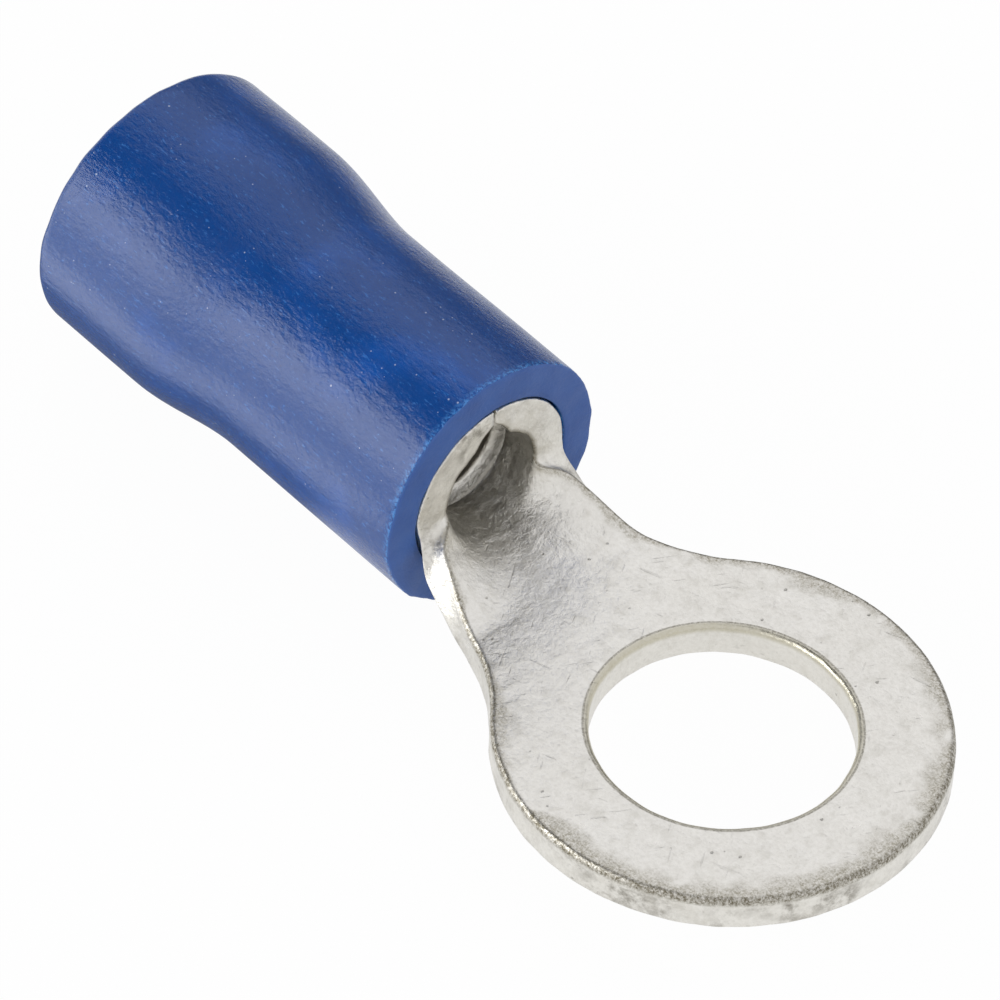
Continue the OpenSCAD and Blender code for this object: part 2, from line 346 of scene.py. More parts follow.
def stamping():
    """The tongue, scoop and barrel, made as the press makes them: blanked, coined and rolled."""
    bm = bmesh.new()
    spun_sector(bm, -SECTOR, 2 * SECTOR, ARC_CELLS)
    spun_sector(bm, SECTOR, 2 * math.pi - 2 * SECTOR, REST_CELLS)
    bmesh.ops.remove_doubles(bm, verts=bm.verts, dist=0.002)
    neck_and_barrel(bm)
    bmesh.ops.remove_doubles(bm, verts=bm.verts, dist=0.002)
    bmesh.ops.recalc_face_normals(bm, faces=bm.faces)
    if sum(face.normal.z for face in bm.faces) < 0:
        bmesh.ops.reverse_faces(bm, faces=bm.faces)
    edge_loops(bm)
    bmesh.ops.subdivide_edges(bm, edges=bm.edges, cuts=1, use_grid_fill=True)
    loop_gap = bm.verts.layers.float["edge_gap"]

    raised = bmesh.ops.extrude_face_region(bm, geom=list(bm.faces))["geom"]
    top = {v for v in raised if isinstance(v, bmesh.types.BMVert)}
    bmesh.ops.translate(bm, vec=(0, 0, SHEET), verts=list(top))
    upright = [e for e in bm.edges if abs(e.verts[0].co.z - e.verts[1].co.z) > 0.5]
    bmesh.ops.subdivide_edges(bm, edges=upright, cuts=5, use_grid_fill=True)
    bmesh.ops.recalc_face_normals(bm, faces=bm.faces)

    sheet_face = bm.verts.layers.float.new("sheet_face")
    nearness = bm.verts.layers.float.new("outline_gap")
    curl = bm.verts.layers.float.new("curl")
    hole = bm.verts.layers.float.new("hole_gap")
    for v in bm.verts:
        x, s, n = v.co
        gap = v[loop_gap]
        if n > SHEET - 0.001:
            # the die rolls the tongue's edge over, and leaves the wings' corners almost sharp
            sharp = 1 - ease((x - BARREL_FRONT - 0.05) / 0.7)
            width = EDGE_ROLL - (EDGE_ROLL - WING_ROLL) * sharp
            miss = 1 - min(gap / width, 1)
            tongue = ease((x - BARREL_FRONT - 0.6) / 1.5) if math.hypot(x, s) > HOLE_R + 0.5 else 0
            drop = width + (TONGUE_DROP - EDGE_ROLL) * tongue
            n -= drop * (1 - math.sqrt(1 - miss * miss))
        elif n < 0.001:
            miss = max(UNDER_BREAK - gap, 0)
            n += UNDER_BREAK - math.sqrt(max(UNDER_BREAK ** 2 - miss * miss, 0))
        else:
            # the cut side's middle rows stay below the roll
            n = 0.06 + (n - 0.06) * 0.84
        v[sheet_face] = n / SHEET
        v[nearness] = outline_gap(x, s)
        v[curl] = opening(x, CURL_LEN)
        v[hole] = max(math.hypot(x, s) - HOLE_R, 0)
        # the punch leaves the outline a little uneven, the wings' front edges rougher still, and
        # the edges that meet at the seam smoother
        near = max(0, 1 - gap / 0.5)
        rough = 0.035 if x < BARREL_FRONT + 0.4 else 0.016
        x += near * rough * wander(x, s, n, 0.45, 1.0)
        butted = 0.4 if abs(s) > 4.6 and x < BARREL_FRONT else 1
        s += near * rough * wander(x, s, n, 0.5, 5.0) * butted
        # faint waves of the rolled sheet, as dents from tumbling in the plating barrel
        n += 0.012 * wander(x, s, 0, 1.6, 9.0) + 0.005 * wander(x, s, n, 0.5, 3.0)
        n += 0.014 * ease(v[curl]) * wander(x, s, n, 0.42, 17.0)
        n = thinned(x, s, n)
        place = bent(x, s, n)
        place.z *= 1 + BARREL_TALLER * ease(v[curl])
        v.co = place
    bmesh.ops.recalc_face_normals(bm, faces=bm.faces)
    return bm


# ---------------------------------------------------------------- sleeve

def steps_between(a, b, count):
    """Even steps after a, up to and including b."""
    return [a + (b - a) * k / count for k in range(1, count + 1)]


def sleeve_profile():
    """Half section of the sleeve as (x, radius), from the mouth's inner edge round and back."""
    round_r = 0.06
    points = [(BARREL_FRONT - 0.02, SLEEVE_BORE_R), (BARREL_FRONT, SLEEVE_BORE_R + 0.03)]
    points += [(BARREL_FRONT, r)
               for r in steps_between(SLEEVE_BORE_R + 0.03, SLEEVE_FRONT_R - round_r, 6)]
    for k in range(1, 4):
        turn = math.pi / 2 * k / 3
        points.append((BARREL_FRONT - round_r + round_r * math.cos(turn),
                       SLEEVE_FRONT_R - round_r + round_r * math.sin(turn)))
    points += [(x, SLEEVE_FRONT_R) for x in steps_between(BARREL_FRONT - round_r, SWELL_FROM, 32)]
    for x in steps_between(SWELL_FROM, SWELL_TO, 18):
        u = (SWELL_FROM - x) / (SWELL_FROM - SWELL_TO)
        points.append((x, SLEEVE_FRONT_R + (SLEEVE_REAR_R - SLEEVE_FRONT_R) * ease(u)))
    rear_r = 0.24
    points += [(x, SLEEVE_REAR_R) for x in steps_between(SWELL_TO, SLEEVE_REAR + rear_r, 14)]
    for k in range(1, 7):
        turn = math.pi / 2 * k / 6
        points.append((SLEEVE_REAR + rear_r - rear_r * math.sin(turn),
                       SLEEVE_REAR_R - rear_r + rear_r * math.cos(turn)))
    points += [(SLEEVE_REAR, CABLE_BORE_R + 0.25), (SLEEVE_REAR + 0.08, CABLE_BORE_R + 0.1)]
    points.append((SLEEVE_REAR + 0.25, CABLE_BORE_R))
    funnel_rear = SEAT_X - THROAT_LEN - FUNNEL_LEN
    points += [(x, CABLE_BORE_R) for x in steps_between(SLEEVE_REAR + 0.25, funnel_rear, 10)]
    funnel = steps_between(0, 1, 8)
    points += [(funnel_rear + FUNNEL_LEN * u, CABLE_BORE_R + (THROAT_R - CABLE_BORE_R) * u)
               for u in funnel]
    points += [(SEAT_X, THROAT_R), (SEAT_X, SLEEVE_BORE_R)]
    points += [(x, SLEEVE_BORE_R) for x in steps_between(SEAT_X, BARREL_FRONT - 0.02, 20)[:-1]]
    return points


def moulding():
    """The sleeve: its half section spun about the barrel's axis, then eased out of round."""
    bm = bmesh.new()
    profile = [bm.verts.new((x, 0, r)) for x, r in sleeve_profile()]
    edges = [bm.edges.new(pair) for pair in zip(profile, profile[1:] + profile[:1])]
    bmesh.ops.spin(bm, geom=profile + edges, axis=(1, 0, 0), cent=(0, 0, 0), angle=2 * math.pi,
                   steps=180, use_merge=True, use_duplicate=False)
    bmesh.ops.remove_doubles(bm, verts=bm.verts, dist=0.0005)
    bmesh.ops.recalc_face_normals(bm, faces=bm.faces)
    mouth = bm.verts.layers.float.new("mouth")
    for v in bm.verts:
        x, y, z = v.co
        r = math.hypot(y, z)
        back = BARREL_FRONT - x
        v[mouth] = max(0, 1 - back / 0.12) if r > SLEEVE_BORE_R - 0.02 else 0
        outer = ease((r - SLEEVE_BORE_R - 0.1) / 0.5)
        # soft PVC keeps a slightly uneven wall and follows the barrel out of round
        swell = 0.03 * wander(x * 0.35, y, z, 2.2, 2.0) + 0.008 * wander(x * 0.3, y, z, 0.7, 4.0)
        swell += 0.012 * wander(x * 0.12, y, z, 0.85, 15.0)
        ragged = max(0, 1 - back / 0.35)
        swell += ragged * 0.03 * wander(x, y, z, 0.25, 6.0)
        share = (r + outer * swell) / r
        to_mouth = 1 - ease((back - 1.0) / 5.5)
        to_rear = ease((back - 5.0) / 4.5)
        # the bore keeps the barrel's form as far as the seat behind it
        to_seat = max(to_mouth, 1 - ease((back - 5.6) / 2.5))
        wide = 1 - MOUTH_NARROWER * to_mouth * outer + 0.008 * to_rear
        tall = 1 + MOUTH_TALLER * (to_seat + (to_mouth - to_seat) * outer) - 0.012 * to_rear
        axis = AXIS_Z + SLEEVE_LIFT + 0.03 * to_rear
        x += ragged * 0.03 * wander(x, y, z, 0.5, 8.0) + 0.02 * ragged * wander(x, y, z, 1.6, 11.0)
        end = max(0, 1 - (x - SLEEVE_REAR) / 1.2)
        x += end * (0.06 + 0.03 * wander(x, y, z, 0.6, 13.0))
        v.co = (x, y * share * wide, axis + z * share * tall)
    return bm


# ---------------------------------------------------------------- materials

def new_material(name):
    material = bpy.data.materials.new(name)
    material.use_nodes = True
    material.node_tree.nodes.clear()
    return material, material.node_tree


def tin_on_stamped_copper():
    """Electroplated tin over stamped copper sheet: matt, pale and faintly warm, with a fine grain.

    The tin is soft, so tumbled parts show scuffs, short scratches and pits, and the die leaves dark
    dirty specks along the rolled edges.
    """
    material, tree = new_material("tin_plate_on_stamped_copper")
    place = node(tree, "ShaderNodeTexCoord")["Object"]
    # object coordinates in millimetres, so that every scale below is one over a size in mm
    mm = node(tree, "ShaderNodeVectorMath", {0: place, 1: (1000, 1000, 1000)},
              operation="MULTIPLY")["Vector"]
    gap = node(tree, "ShaderNodeAttribute", attribute_name="outline_gap")["Fac"]
    height = node(tree, "ShaderNodeAttribute", attribute_name="sheet_face")["Fac"]
    curl = node(tree, "ShaderNodeAttribute", attribute_name="curl")["Fac"]

    cloud = node(tree, "ShaderNodeTexNoise",
                 {"Vector": mm, "Scale": 0.7, "Detail": 4, "Roughness": 0.6})["Fac"]
    blotch = node(tree, "ShaderNodeTexNoise",
                  {"Vector": mm, "Scale": 2.6, "Detail": 5, "Roughness": 0.65})["Fac"]
    grain = node(tree, "ShaderNodeTexNoise",
                 {"Vector": mm, "Scale": 11, "Detail": 4, "Roughness": 0.7})["Fac"]

    # scratches: three crossing sets of faint lines, each about 0.03 mm wide and up to 0.6 mm long
    scratches = []
    for turn, reach, size in ((0.6, 9, 11), (-0.5, 8, 13), (1.9, 11, 9)):
        turned = node(tree, "ShaderNodeMapping",
                      {"Vector": mm, "Rotation": (0, 0, turn), "Scale": (1, reach, 1)},
                      vector_type="TEXTURE")["Vector"]
        lines = node(tree, "ShaderNodeTexNoise", {"Vector": turned, "Scale": size, "Detail": 1,
                                                  "Roughness": 0.4, "Distortion": 0.3})["Fac"]
        scratches.append(node(tree, "ShaderNodeMapRange",
                              {"Value": lines, "From Min": 0.72, "From Max": 0.79},
                              interpolation_type="SMOOTHSTEP")["Result"])
    two = node(tree, "ShaderNodeMath", {0: scratches[0], 1: scratches[1]},
               operation="MAXIMUM")["Value"]
    scratch = node(tree, "ShaderNodeMath", {0: two, 1: scratches[2]}, operation="MAXIMUM")["Value"]

    # pits: dark pinholes about 0.05 mm across, about 0.5 mm apart, only where the blotches are strong
    holes = node(tree, "ShaderNodeTexVoronoi",
                 {"Vector": mm, "Scale": 2.4, "Randomness": 1.0})["Distance"]
    pit = node(tree, "ShaderNodeMapRange", {"Value": holes, "From Min": 0.1, "From Max": 0.05},
               interpolation_type="SMOOTHSTEP")["Result"]
    strong = node(tree, "ShaderNodeMapRange",
                  {"Value": blotch, "From Min": 0.5, "From Max": 0.56})["Result"]
    pit = node(tree, "ShaderNodeMath", {0: pit, 1: strong}, operation="MULTIPLY")["Value"]

    # on the wings the corner is sharp, so what clings to it lies in a narrower band
    lower = node(tree, "ShaderNodeMath", {0: curl, 1: -0.12, 2: height},
                 operation="MULTIPLY_ADD")["Value"]
    tight = node(tree, "ShaderNodeMath", {0: curl, 1: 2.5, 2: 1.0},
                 operation="MULTIPLY_ADD")["Value"]
    tight = node(tree, "ShaderNodeMath", {0: gap, 1: tight}, operation="MULTIPLY")["Value"]
    upper = node(tree, "ShaderNodeMapRange", {"Value": lower, "From Min": 0.72, "From Max": 0.9},
                 interpolation_type="SMOOTHSTEP")["Result"]
    speck = node(tree, "ShaderNodeTexNoise",
                 {"Vector": mm, "Scale": 9, "Detail": 5, "Roughness": 0.75})["Fac"]
    speck = node(tree, "ShaderNodeMapRange", {"Value": speck, "From Min": 0.4, "From Max": 0.58},
                 interpolation_type="SMOOTHSTEP")["Result"]

    # dirt: a thin dark line along the rolled upper edge, broken in places
    line = node(tree, "ShaderNodeMapRange", {"Value": tight, "From Min": 0.16, "From Max": 0.06},
                interpolation_type="SMOOTHSTEP")["Result"]
    line = node(tree, "ShaderNodeMath", {0: line, 1: upper}, operation="MULTIPLY")["Value"]
    worn = node(tree, "ShaderNodeTexNoise",
                {"Vector": mm, "Scale": 0.55, "Detail": 3, "Roughness": 0.6})["Fac"]
    kept = node(tree, "ShaderNodeMapRange", {"Value": worn, "From Min": 0.26, "From Max": 0.44},
                interpolation_type="SMOOTHSTEP")["Result"]
    along = node(tree, "ShaderNodeSeparateXYZ", {0: mm})["X"]
    necked = node(tree, "ShaderNodeMapRange",
                  {"Value": along, "From Min": -2.2, "From Max": -3.6})["Result"]
    kept = node(tree, "ShaderNodeMath", {0: kept, 1: necked}, operation="MAXIMUM")["Value"]
    line = node(tree, "ShaderNodeMath", {0: line, 1: kept}, operation="MULTIPLY")["Value"]

    # smear: brown powder rubbed inwards from that line, up to 0.8 mm wide
    reach = node(tree, "ShaderNodeMapRange", {"Value": worn, "From Min": 0.38, "From Max": 0.6,
                                              "To Min": 0.1, "To Max": 0.85})["Result"]
    smear = node(tree, "ShaderNodeMath", {0: tight, 1: reach}, operation="DIVIDE")["Value"]
    smear = node(tree, "ShaderNodeMapRange", {"Value": smear, "From Min": 1.0, "From Max": 0.25},
                 interpolation_type="SMOOTHSTEP")["Result"]
    powder = node(tree, "ShaderNodeTexNoise",
                  {"Vector": mm, "Scale": 20, "Detail": 4, "Roughness": 0.8})["Fac"]
    powder = node(tree, "ShaderNodeMapRange", {"Value": powder, "From Min": 0.36, "From Max": 0.6,
                                               "To Min": 0.15})["Result"]
    grit = node(tree, "ShaderNodeMath", {0: powder, 1: speck, 2: powder},
                operation="MULTIPLY_ADD")["Value"]
    grit = node(tree, "ShaderNodeMath", {0: grit, 1: 0.5}, operation="MULTIPLY")["Value"]
    dirt = node(tree, "ShaderNodeMath", {0: line, 1: grit}, operation="MULTIPLY")["Value"]
    # the wings' sharp corners keep it as an unbroken thin line
    crisp = node(tree, "ShaderNodeMath", {0: line, 1: curl}, operation="MULTIPLY")["Value"]
    crisp = node(tree, "ShaderNodeMath", {0: crisp, 1: 0.7}, operation="MULTIPLY")["Value"]
    dirt = node(tree, "ShaderNodeMath", {0: dirt, 1: crisp}, operation="MAXIMUM")["Value"]
    smear = node(tree, "ShaderNodeMath", {0: smear, 1: grit}, operation="MULTIPLY")["Value"]
    smear = node(tree, "ShaderNodeMath", {0: smear, 1: upper}, operation="MULTIPLY")["Value"]

    # the punched hole's rim is stained in a band about 0.1 mm wide, with a dark line at its corner
    rim_gap = node(tree, "ShaderNodeAttribute", attribute_name="hole_gap")["Fac"]
    rim = node(tree, "ShaderNodeMapRange", {"Value": rim_gap, "From Min": 0.17, "From Max": 0.06},
               interpolation_type="SMOOTHSTEP")["Result"]
    even = node(tree, "ShaderNodeMapRange", {"Value": powder, "To Min": 0.7})["Result"]
    rim = node(tree, "ShaderNodeMath", {0: rim, 1: upper}, operation="MULTIPLY")["Value"]
    stain = node(tree, "ShaderNodeMath", {0: rim, 1: even}, operation="MULTIPLY")["Value"]
    aside = node(tree, "ShaderNodeMath", {0: rim_gap, 1: 0.125}, operation="SUBTRACT")["Value"]
    aside = node(tree, "ShaderNodeMath", {0: aside}, operation="ABSOLUTE")["Value"]
    corner = node(tree, "ShaderNodeMapRange", {"Value": aside, "From Min": 0.035, "From Max": 0.01},
                  interpolation_type="SMOOTHSTEP")["Result"]
    corner = node(tree, "ShaderNodeMath", {0: corner, 1: upper}, operation="MULTIPLY")["Value"]
    corner = node(tree, "ShaderNodeMath", {0: corner, 1: powder}, operation="MULTIPLY")["Value"]
    corner = node(tree, "ShaderNodeMath", {0: corner, 1: 0.75}, operation="MULTIPLY")["Value"]
    dirt = node(tree, "ShaderNodeMath", {0: dirt, 1: corner}, operation="MAXIMUM")["Value"]

    # cut sides: torn by the punch, so mottled and a little dirty
    side = node(tree, "ShaderNodeMapRange",
                {"Value": gap, "From Min": 0.03, "From Max": 0.005})["Result"]
    flat_on = node(tree, "ShaderNodeMapRange",
                   {"Value": height, "From Min": 0.85, "From Max": 0.7})["Result"]
    side = node(tree, "ShaderNodeMath", {0: side, 1: flat_on}, operation="MULTIPLY")["Value"]
    torn = node(tree, "ShaderNodeTexNoise",
                {"Vector": mm, "Scale": 2.0, "Detail": 6, "Roughness": 0.7})["Fac"]
    torn = node(tree, "ShaderNodeMapRange", {"Value": torn, "From Min": 0.42, "From Max": 0.66},
                interpolation_type="SMOOTHSTEP")["Result"]
    grimy = node(tree, "ShaderNodeMapRange", {"Value": worn, "From Min": 0.48, "From Max": 0.62,
                                              "To Min": 0.4, "To Max": 1.6})["Result"]
    torn = node(tree, "ShaderNodeMath", {0: torn, 1: grimy}, operation="MULTIPLY")["Value"]
    torn = node(tree, "ShaderNodeMath", {0: torn, 1: side}, operation="MULTIPLY")["Value"]

    # the cloudy tone of the plating
    tone_a = node(tree, "ShaderNodeMix", {0: cloud, 6: colour("#e8e5dd"), 7: colour("#f2f0ea")},
                  data_type="RGBA")[2]
    blotchy = node(tree, "ShaderNodeMapRange", {"Value": blotch, "From Min": 0.52, "From Max": 0.75,
                                               "To Max": 0.4})["Result"]
    tone_b = node(tree, "ShaderNodeMix", {0: blotchy, 6: tone_a, 7: colour("#c9c5b9")},
                  data_type="RGBA")[2]
    fine = node(tree, "ShaderNodeMapRange",
                {"Value": grain, "From Min": 0.4, "From Max": 0.7, "To Max": 0.25})["Result"]
    tone_b = node(tree, "ShaderNodeMix", {0: fine, 6: tone_b, 7: colour("#bfbbaf")},
                  data_type="RGBA")[2]
    # painted shade: where the sheet curls up into the scoop and barrel, the tone is drawn up to a
    # tenth of the way towards a darker grey, for the shade in the trough
    painted_scoop_shade = node(tree, "ShaderNodeMapRange",
                {"Value": curl, "From Min": 0.1, "From Max": 0.9, "To Max": 0.1})["Result"]
    tone_c = node(tree, "ShaderNodeMix", {0: painted_scoop_shade, 6: tone_b, 7: colour("#d6d2c3")},
                  data_type="RGBA")[2]
    # painted shade: the barrel's inside behind the first groove is painted dark brown, for the shade
    # deep in the bore
    deep = node(tree, "ShaderNodeMapRange", {"Value": along, "From Min": -8.46, "From Max": -8.54,
                                             "To Max": 0.6})["Result"]
    deep = node(tree, "ShaderNodeMath", {0: deep, 1: upper}, operation="MULTIPLY")["Value"]
    tone_c = node(tree, "ShaderNodeMix", {0: deep, 6: tone_c, 7: colour("#857b66")},
                  data_type="RGBA")[2]
    marks = node(tree, "ShaderNodeMath", {0: scratch, 1: 0.16}, operation="MULTIPLY")["Value"]
    tone_d = node(tree, "ShaderNodeMix", {0: marks, 6: tone_c, 7: colour("#8f8d86")},
                  data_type="RGBA")[2]
    pits = node(tree, "ShaderNodeMath", {0: pit, 1: 0.45}, operation="MULTIPLY")["Value"]
    tone_e = node(tree, "ShaderNodeMix", {0: pits, 6: tone_d, 7: colour("#6d6a60")},
                  data_type="RGBA")[2]
    sheared = node(tree, "ShaderNodeMath", {0: torn, 1: 0.55}, operation="MULTIPLY")["Value"]
    tone_e = node(tree, "ShaderNodeMix", {0: sheared, 6: tone_e, 7: colour("#8b867b")},
                  data_type="RGBA")[2]
    rubbed = node(tree, "ShaderNodeMath", {0: smear, 1: 0.9}, operation="MULTIPLY")["Value"]
    tone_e = node(tree, "ShaderNodeMix", {0: rubbed, 6: tone_e, 7: colour("#8d8671")},
                  data_type="RGBA")[2]
    stained = node(tree, "ShaderNodeMath", {0: stain, 1: 0.6}, operation="MULTIPLY")["Value"]
    tone_f = node(tree, "ShaderNodeMix", {0: stained, 6: tone_e, 7: colour("#b4ad8d")},
                  data_type="RGBA")[2]
    dirty = node(tree, "ShaderNodeMath", {0: dirt, 1: 0.9}, operation="MULTIPLY")["Value"]
    base = node(tree, "ShaderNodeMix", {0: dirty, 6: tone_f, 7: colour("#665f4c")},
                data_type="RGBA")[2]

    rough = node(tree, "ShaderNodeMapRange", {"Value": blotch, "From Min": 0.3, "From Max": 0.7,
                                              "To Min": 0.27, "To Max": 0.38})["Result"]
    rough = node(tree, "ShaderNodeMath", {0: dirt, 1: 0.25, 2: rough},
                 operation="MULTIPLY_ADD")["Value"]

    # relief: soft hammered waves, the plating's grain, and the scratches and pits cut into it
    waves = node(tree, "ShaderNodeBump",
                 {"Height": blotch, "Strength": 0.55, "Distance": 0.00006})["Normal"]
    grainy = node(tree, "ShaderNodeBump",
                  {"Height": grain, "Strength": 0.5, "Distance": 0.000014,
                   "Normal": waves})["Normal"]
    both = node(tree, "ShaderNodeMath", {0: scratch, 1: 0.35, 2: pit},
                operation="MULTIPLY_ADD")["Value"]
    cuts = node(tree, "ShaderNodeBump",
                {"Height": both, "Strength": 0.5, "Distance": 0.00002, "Normal": grainy},
                invert=True)["Normal"]
    pressed = node(tree, "ShaderNodeTexNoise",
                   {"Vector": mm, "Scale": 5, "Detail": 5, "Roughness": 0.7,
                    "Distortion": 0.6})["Fac"]
    pressed = node(tree, "ShaderNodeMath", {0: pressed, 1: curl}, operation="MULTIPLY")["Value"]
    cuts = node(tree, "ShaderNodeBump",
                {"Height": pressed, "Strength": 0.6, "Distance": 0.00005, "Normal": cuts})["Normal"]

    shader = node(tree, "ShaderNodeBsdfPrincipled",
                  {"Base Color": base, "Metallic": 1.0, "Roughness": rough, "Normal": cuts})["BSDF"]
    node(tree, "ShaderNodeOutputMaterial", {"Surface": shader})
    return material


def moulded_pvc():
    """Injection-moulded flexible PVC: deep blue and satin, with a slightly translucent skin.

    It was drawn off a core, so flow lines run along it, and dust leaves tiny pale specks.
    """
    material, tree = new_material("moulded_flexible_pvc")
    place = node(tree, "ShaderNodeTexCoord")["Object"]
    mm = node(tree, "ShaderNodeVectorMath", {0: place, 1: (1000, 1000, 1000)},
              operation="MULTIPLY")["Vector"]
    mouth = node(tree, "ShaderNodeAttribute", attribute_name="mouth")["Fac"]
    # flow lines: about 0.1 mm wide and 1 to 2 mm long, lengthwise
    drawn = node(tree, "ShaderNodeMapping", {"Vector": mm, "Scale": (0.3, 1, 1)},
                 vector_type="POINT")["Vector"]
    flow = node(tree, "ShaderNodeTexNoise",
                {"Vector": drawn, "Scale": 8, "Detail": 4, "Roughness": 0.6})["Fac"]
    fine = node(tree, "ShaderNodeTexNoise",
                {"Vector": drawn, "Scale": 22, "Detail": 3, "Roughness": 0.6})["Fac"]
    cloud = node(tree, "ShaderNodeTexNoise",
                 {"Vector": mm, "Scale": 0.45, "Detail": 3, "Roughness": 0.5})["Fac"]
    pebble = node(tree, "ShaderNodeTexNoise",
                  {"Vector": mm, "Scale": 6.5, "Detail": 4, "Roughness": 0.65})["Fac"]
    # dust: white specks about 0.04 mm across, in loose groups
    seeds = node(tree, "ShaderNodeTexVoronoi",
                 {"Vector": mm, "Scale": 4.5, "Randomness": 1.0})["Distance"]
    groups = node(tree, "ShaderNodeTexNoise",
                  {"Vector": mm, "Scale": 1.3, "Detail": 2, "Roughness": 0.5})["Fac"]
    size = node(tree, "ShaderNodeMapRange", {"Value": groups, "From Min": 0.42, "From Max": 0.68,
                                             "To Min": 0.02, "To Max": 0.13})["Result"]
    dust = node(tree, "ShaderNodeMath", {0: seeds, 1: size}, operation="DIVIDE")["Value"]
    dust = node(tree, "ShaderNodeMapRange",
                {"Value": dust, "From Min": 1.0, "From Max": 0.5, "To Max": 0.7})["Result"]
    # flecks: short pale and dark scuffs, about 0.05 mm wide and 0.15 mm long
    scuffs = node(tree, "ShaderNodeTexNoise",
                  {"Vector": drawn, "Scale": 17, "Detail": 3, "Roughness": 0.7})["Fac"]
    pale_scuff = node(tree, "ShaderNodeMapRange",
                      {"Value": scuffs, "From Min": 0.6, "From Max": 0.68, "To Max": 0.5})["Result"]
    dark_scuff = node(tree, "ShaderNodeMapRange",
                      {"Value": scuffs, "From Min": 0.36, "From Max": 0.29,
                       "To Max": 0.6})["Result"]

    paler = node(tree, "ShaderNodeMapRange", {"Value": cloud, "From Min": 0.5, "From Max": 0.72},
                 interpolation_type="SMOOTHSTEP")["Result"]
    tone_a = node(tree, "ShaderNodeMix", {0: paler, 6: colour("#0f4489"), 7: colour("#1752a2")},
                  data_type="RGBA")[2]
    lines = node(tree, "ShaderNodeMapRange",
                 {"Value": flow, "From Min": 0.35, "From Max": 0.7, "To Max": 0.4})["Result"]
    tone_b = node(tree, "ShaderNodeMix", {0: lines, 6: tone_a, 7: colour("#0e3a7c")},
                  data_type="RGBA")[2]
    tone_b = node(tree, "ShaderNodeMix", {0: pale_scuff, 6: tone_b, 7: colour("#3f7fcb")},
                  data_type="RGBA")[2]
    tone_b = node(tree, "ShaderNodeMix", {0: dark_scuff, 6: tone_b, 7: colour("#0a2a60")},
                  data_type="RGBA")[2]
    # the blade tears a thin bright burr along the mouth
    frayed = node(tree, "ShaderNodeTexNoise",
                  {"Vector": mm, "Scale": 14, "Detail": 3, "Roughness": 0.7})["Fac"]
    frayed = node(tree, "ShaderNodeMapRange",
                  {"Value": frayed, "From Min": 0.45, "From Max": 0.58})["Result"]
    torn = node(tree, "ShaderNodeMapRange",
                {"Value": mouth, "From Min": 0.05, "From Max": 0.5})["Result"]
    torn = node(tree, "ShaderNodeMath", {0: torn, 1: frayed}, operation="MULTIPLY")["Value"]
    torn = node(tree, "ShaderNodeMath", {0: torn, 1: 0.75}, operation="MULTIPLY")["Value"]
    tone_c = node(tree, "ShaderNodeMix", {0: torn, 6: tone_b, 7: colour("#4a8fd4")},
                  data_type="RGBA")[2]
    base = node(tree, "ShaderNodeMix", {0: dust, 6: tone_c, 7: colour("#b9c6dd")},
                data_type="RGBA")[2]

    rough = node(tree, "ShaderNodeMapRange", {"Value": flow, "From Min": 0.3, "From Max": 0.7,
                                              "To Min": 0.16, "To Max": 0.26})["Result"]
    coarse = node(tree, "ShaderNodeBump",
                  {"Height": pebble, "Strength": 0.35, "Distance": 0.00005})["Normal"]
    streaks = node(tree, "ShaderNodeBump",
                   {"Height": flow, "Strength": 0.4, "Distance": 0.00003,
                    "Normal": coarse})["Normal"]
    skin = node(tree, "ShaderNodeBump",
                {"Height": fine, "Strength": 0.4, "Distance": 0.000012,
                 "Normal": streaks})["Normal"]
    shader = node(tree, "ShaderNodeBsdfPrincipled",
                  {"Base Color": base, "Roughness": rough, "Normal": skin, "IOR": 1.53,
                   "Subsurface Weight": 0.08, "Subsurface Scale": 0.0008,
                   "Subsurface Radius": (0.3, 0.5, 1.0)})["BSDF"]
    node(tree, "ShaderNodeOutputMaterial", {"Surface": shader})
    return material


def cut_pvc():
    """The same PVC where a blade cut the mouth: dull, a little greyer, with fine tearing."""
    material, tree = new_material("cut_flexible_pvc")
    place = node(tree, "ShaderNodeTexCoord")["Object"]
    mm = node(tree, "ShaderNodeVectorMath", {0: place, 1: (1000, 1000, 1000)},
              operation="MULTIPLY")["Vector"]
    cloud = node(tree, "ShaderNodeTexNoise",
                 {"Vector": mm, "Scale": 1.1, "Detail": 4, "Roughness": 0.6})["Fac"]
    tear = node(tree, "ShaderNodeTexNoise",
                {"Vector": mm, "Scale": 7, "Detail": 4, "Roughness": 0.7})["Fac"]
    base = node(tree, "ShaderNodeMix", {0: cloud, 6: colour("#234a8e"), 7: colour("#3f68ad")},
                data_type="RGBA")[2]
    relief = node(tree, "ShaderNodeBump",
                  {"Height": tear, "Strength": 0.5, "Distance": 0.00004})["Normal"]
    shader = node(tree, "ShaderNodeBsdfPrincipled",
                  {"Base Color": base, "Roughness": 0.55, "Normal": relief, "IOR": 1.53,
                   "Subsurface Weight": 0.08, "Subsurface Scale": 0.0008,
                   "Subsurface Radius": (0.3, 0.5, 1.0)})["BSDF"]
    node(tree, "ShaderNodeOutputMaterial", {"Surface": shader})
    return material


# ---------------------------------------------------------------- pieces

tin = tin_on_stamped_copper()
skin = moulded_pvc()
cut = cut_pvc()

finished("stamped_terminal", stamping(), [tin], "terminal")

sleeve_mesh = moulding()
for cut_face in sleeve_mesh.faces:
    middle = cut_face.calc_center_median()
    if middle.x > BARREL_FRONT - 0.09 and cut_face.normal.x > 0.6:
        cut_face.material_index = 1
finished("moulded_sleeve", sleeve_mesh, [skin, cut], "sleeve")


# ---------------------------------------------------------------- floor, world and lamps

FLOOR_Z = (sleeve_low.z - 0.02) * MM
TABLE_HALF = 1.5
# what the lamps are aimed at
MIDDLE = Vector((-6.6, 0, 1.0)) * MM


